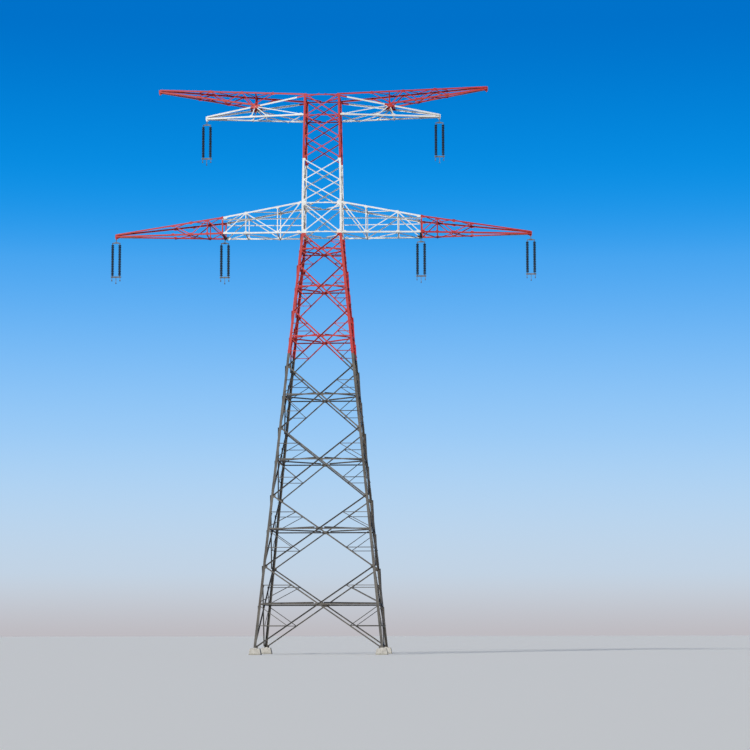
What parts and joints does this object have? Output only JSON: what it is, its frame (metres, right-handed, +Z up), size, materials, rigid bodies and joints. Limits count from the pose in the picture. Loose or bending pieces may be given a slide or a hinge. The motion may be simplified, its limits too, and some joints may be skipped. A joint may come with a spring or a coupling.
{
  "type": "lattice transmission pylon, 1:2 scale model",
  "caption": "Tapered square lattice tower of steel angles with crossarms, earth-wire peaks and hanging insulator strings, red and white bands above a galvanised body. 1:2 scale model.",
  "frame": {"origin": "on the ground at the middle of the four feet", "axes": "+Z up the tower, +X along the crossarms to the right as seen from the front, +Y along the line, away from the viewer"},
  "size_m": [20.8, 6.5, 27.675],
  "materials": {
    "concrete": "cast, weathered",
    "galvanised_steel": "weathered zinc, dull",
    "red_paint": "satin, weathered",
    "white_paint": "satin, weathered",
    "insulator_glaze": "glossy glaze",
    "forged_steel": "galvanised, matt"
  },
  "bodies": {
    "tower": {"back_lower_bracing": "galvanised_steel", "cage_legs": "white_paint", "cage_sides": "white_paint", "footings": "concrete", "front_lower_bracing": "galvanised_steel", "hanging_beams": "galvanised_steel", "left_lower_arm_bracing": "white_paint", "left_lower_arm_chords": "white_paint", "left_lower_arm_tip_bracing": "red_paint", "left_lower_arm_tip_chords": "red_paint", "left_lower_bracing": "galvanised_steel", "left_peak_bracing": "red_paint", "left_peak_chords": "red_paint", "left_upper_arm_bracing": "white_paint", "left_upper_arm_chords": "white_paint", "lower_arm_tip_plates": "red_paint", "lower_diaphragms": "galvanised_steel", "lower_legs": "galvanised_steel", "peak_frames": "red_paint", "peak_tip_plates": "red_paint", "red_bracing": "red_paint", "red_diaphragms": "red_paint", "red_frames": "red_paint", "red_legs": "red_paint", "red_shaft_legs": "red_paint", "red_shaft_sides": "red_paint", "right_lower_arm_bracing": "white_paint", "right_lower_arm_chords": "white_paint", "right_lower_arm_tip_bracing": "red_paint", "right_lower_arm_tip_chords": "red_paint", "right_lower_bracing": "galvanised_steel", "right_peak_bracing": "red_paint", "right_peak_chords": "red_paint", "right_upper_arm_bracing": "white_paint", "right_upper_arm_chords": "white_paint", "upper_arm_tip_plates": "white_paint", "white_frames": "white_paint", "white_shaft_legs": "white_paint", "white_shaft_sides": "white_paint"},
    "left_lower_outer_string": {"left_lower_outer_discs": "insulator_glaze", "left_lower_outer_fittings": "forged_steel"},
    "left_lower_inner_string": {"left_lower_inner_discs": "insulator_glaze", "left_lower_inner_fittings": "forged_steel"},
    "left_upper_string": {"left_upper_discs": "insulator_glaze", "left_upper_fittings": "forged_steel"},
    "right_lower_outer_string": {"right_lower_outer_discs": "insulator_glaze", "right_lower_outer_fittings": "forged_steel"},
    "right_lower_inner_string": {"right_lower_inner_discs": "insulator_glaze", "right_lower_inner_fittings": "forged_steel"},
    "right_upper_string": {"right_upper_discs": "insulator_glaze", "right_upper_fittings": "forged_steel"}
  },
  "joints": [
    {"name": "left_lower_outer_swing", "type": "hinge", "parent": "tower", "child": "left_lower_outer_string", "pos_m": [-10.15, 0, 20.22], "axis": [0, 1, 0], "range_deg": [-45, 45]},
    {"name": "left_lower_inner_swing", "type": "hinge", "parent": "tower", "child": "left_lower_inner_string", "pos_m": [-4.8, 0, 20.1595], "axis": [0, 1, 0], "range_deg": [-45, 45]},
    {"name": "left_upper_swing", "type": "hinge", "parent": "tower", "child": "left_upper_string", "pos_m": [-5.725, 0, 26.07], "axis": [0, 1, 0], "range_deg": [-45, 45]},
    {"name": "right_lower_outer_swing", "type": "hinge", "parent": "tower", "child": "right_lower_outer_string", "pos_m": [10.15, 0, 20.22], "axis": [0, 1, 0], "range_deg": [-45, 45]},
    {"name": "right_lower_inner_swing", "type": "hinge", "parent": "tower", "child": "right_lower_inner_string", "pos_m": [4.8, 0, 20.1595], "axis": [0, 1, 0], "range_deg": [-45, 45]},
    {"name": "right_upper_swing", "type": "hinge", "parent": "tower", "child": "right_upper_string", "pos_m": [5.725, 0, 26.07], "axis": [0, 1, 0], "range_deg": [-45, 45]}
  ]
}
